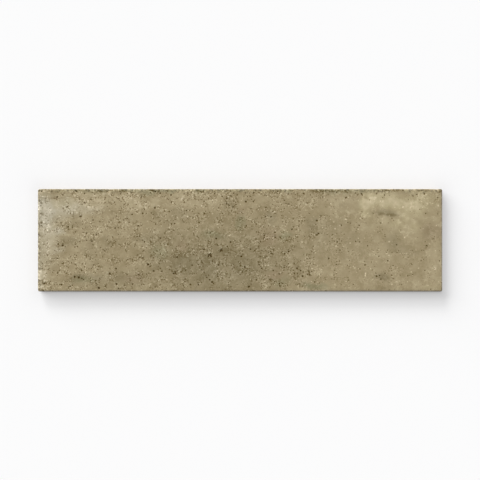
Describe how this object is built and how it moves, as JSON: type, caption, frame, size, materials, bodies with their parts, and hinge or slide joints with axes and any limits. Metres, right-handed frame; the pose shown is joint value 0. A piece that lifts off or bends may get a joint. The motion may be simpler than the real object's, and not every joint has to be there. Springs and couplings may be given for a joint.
{
  "type": "porcelain wall tile",
  "caption": "Long narrow matt porcelain wall tile with a weathered stone-look face, rounded arris and a waffle of keying pockets in the back.",
  "frame": {"origin": "centre of the back, in the plane of the back ribs, which meets the wall or the floor", "axes": "+X along the long side, +Y along the short side, +Z out of the glazed face"},
  "size_m": [0.3, 0.076, 0.009],
  "materials": {
    "matt_glazed_porcelain": "matte"
  },
  "bodies": {
    "root": {"wall_tile": "matt_glazed_porcelain"}
  },
  "joints": []
}
